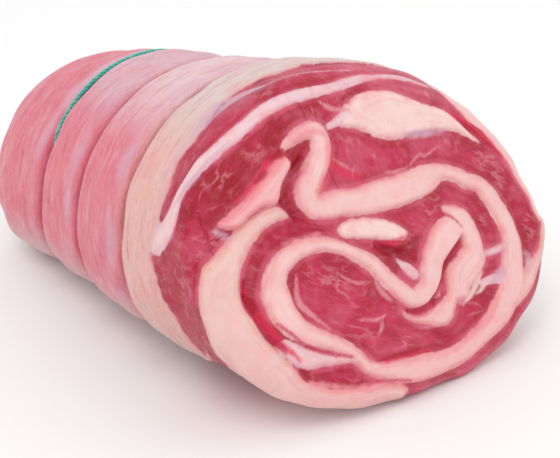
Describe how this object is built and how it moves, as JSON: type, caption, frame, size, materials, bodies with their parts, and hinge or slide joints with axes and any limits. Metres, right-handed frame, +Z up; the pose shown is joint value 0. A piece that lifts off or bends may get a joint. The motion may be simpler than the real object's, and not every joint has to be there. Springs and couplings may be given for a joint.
{
  "type": "boneless lamb breast joint",
  "caption": "Boneless breast of lamb rolled into a tapering joint and tied with elastic strings, its coiled lean and fat showing at the cut end.",
  "frame": {"origin": "middle of the footprint of the whole joint, on the surface it rests on", "axes": "+Z up; +Y along the roll from the cut end to the narrow end; +X to the right seen from the cut end"},
  "size_m": [0.1168, 0.173, 0.0886],
  "materials": {
    "lamb_meat": "moist raw lean with cream and pink fat",
    "string_yarn": "teal covered elastic, dull"
  },
  "bodies": {
    "root": {"lamb_breast_meat": "lamb_meat", "string_front": "string_yarn", "string_middle": "string_yarn", "string_back": "string_yarn"}
  },
  "joints": []
}
